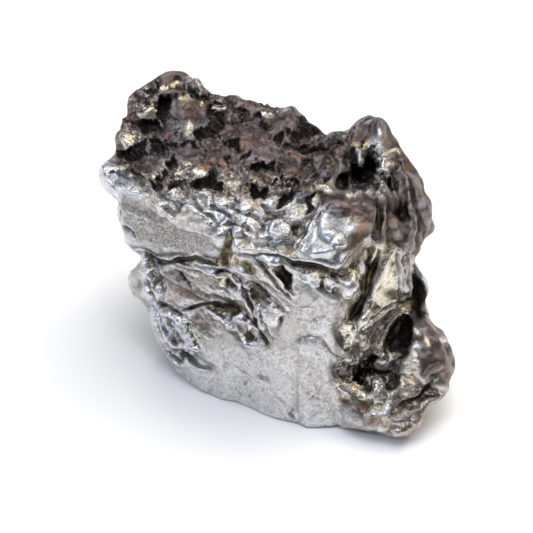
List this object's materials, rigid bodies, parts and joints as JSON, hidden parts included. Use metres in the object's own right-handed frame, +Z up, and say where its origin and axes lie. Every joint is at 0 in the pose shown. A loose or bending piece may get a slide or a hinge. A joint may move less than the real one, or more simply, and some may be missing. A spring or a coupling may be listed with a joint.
{
  "type": "iron meteorite",
  "caption": "Free-standing hand specimen: one solid lump of worn, wire-brushed nickel iron with pits, ledges and a hollowed foot.",
  "frame": {"origin": "middle of the bounding box in plan, on the flat it rests on", "axes": "+Z up from the flat, +X to the right as seen from the front, -Y towards the viewer"},
  "size_m": [0.0738, 0.061, 0.0543],
  "materials": {
    "iron": "satin worn metal, darker and browner in the hollows"
  },
  "bodies": {
    "root": {"iron_meteorite": "iron"}
  },
  "joints": []
}
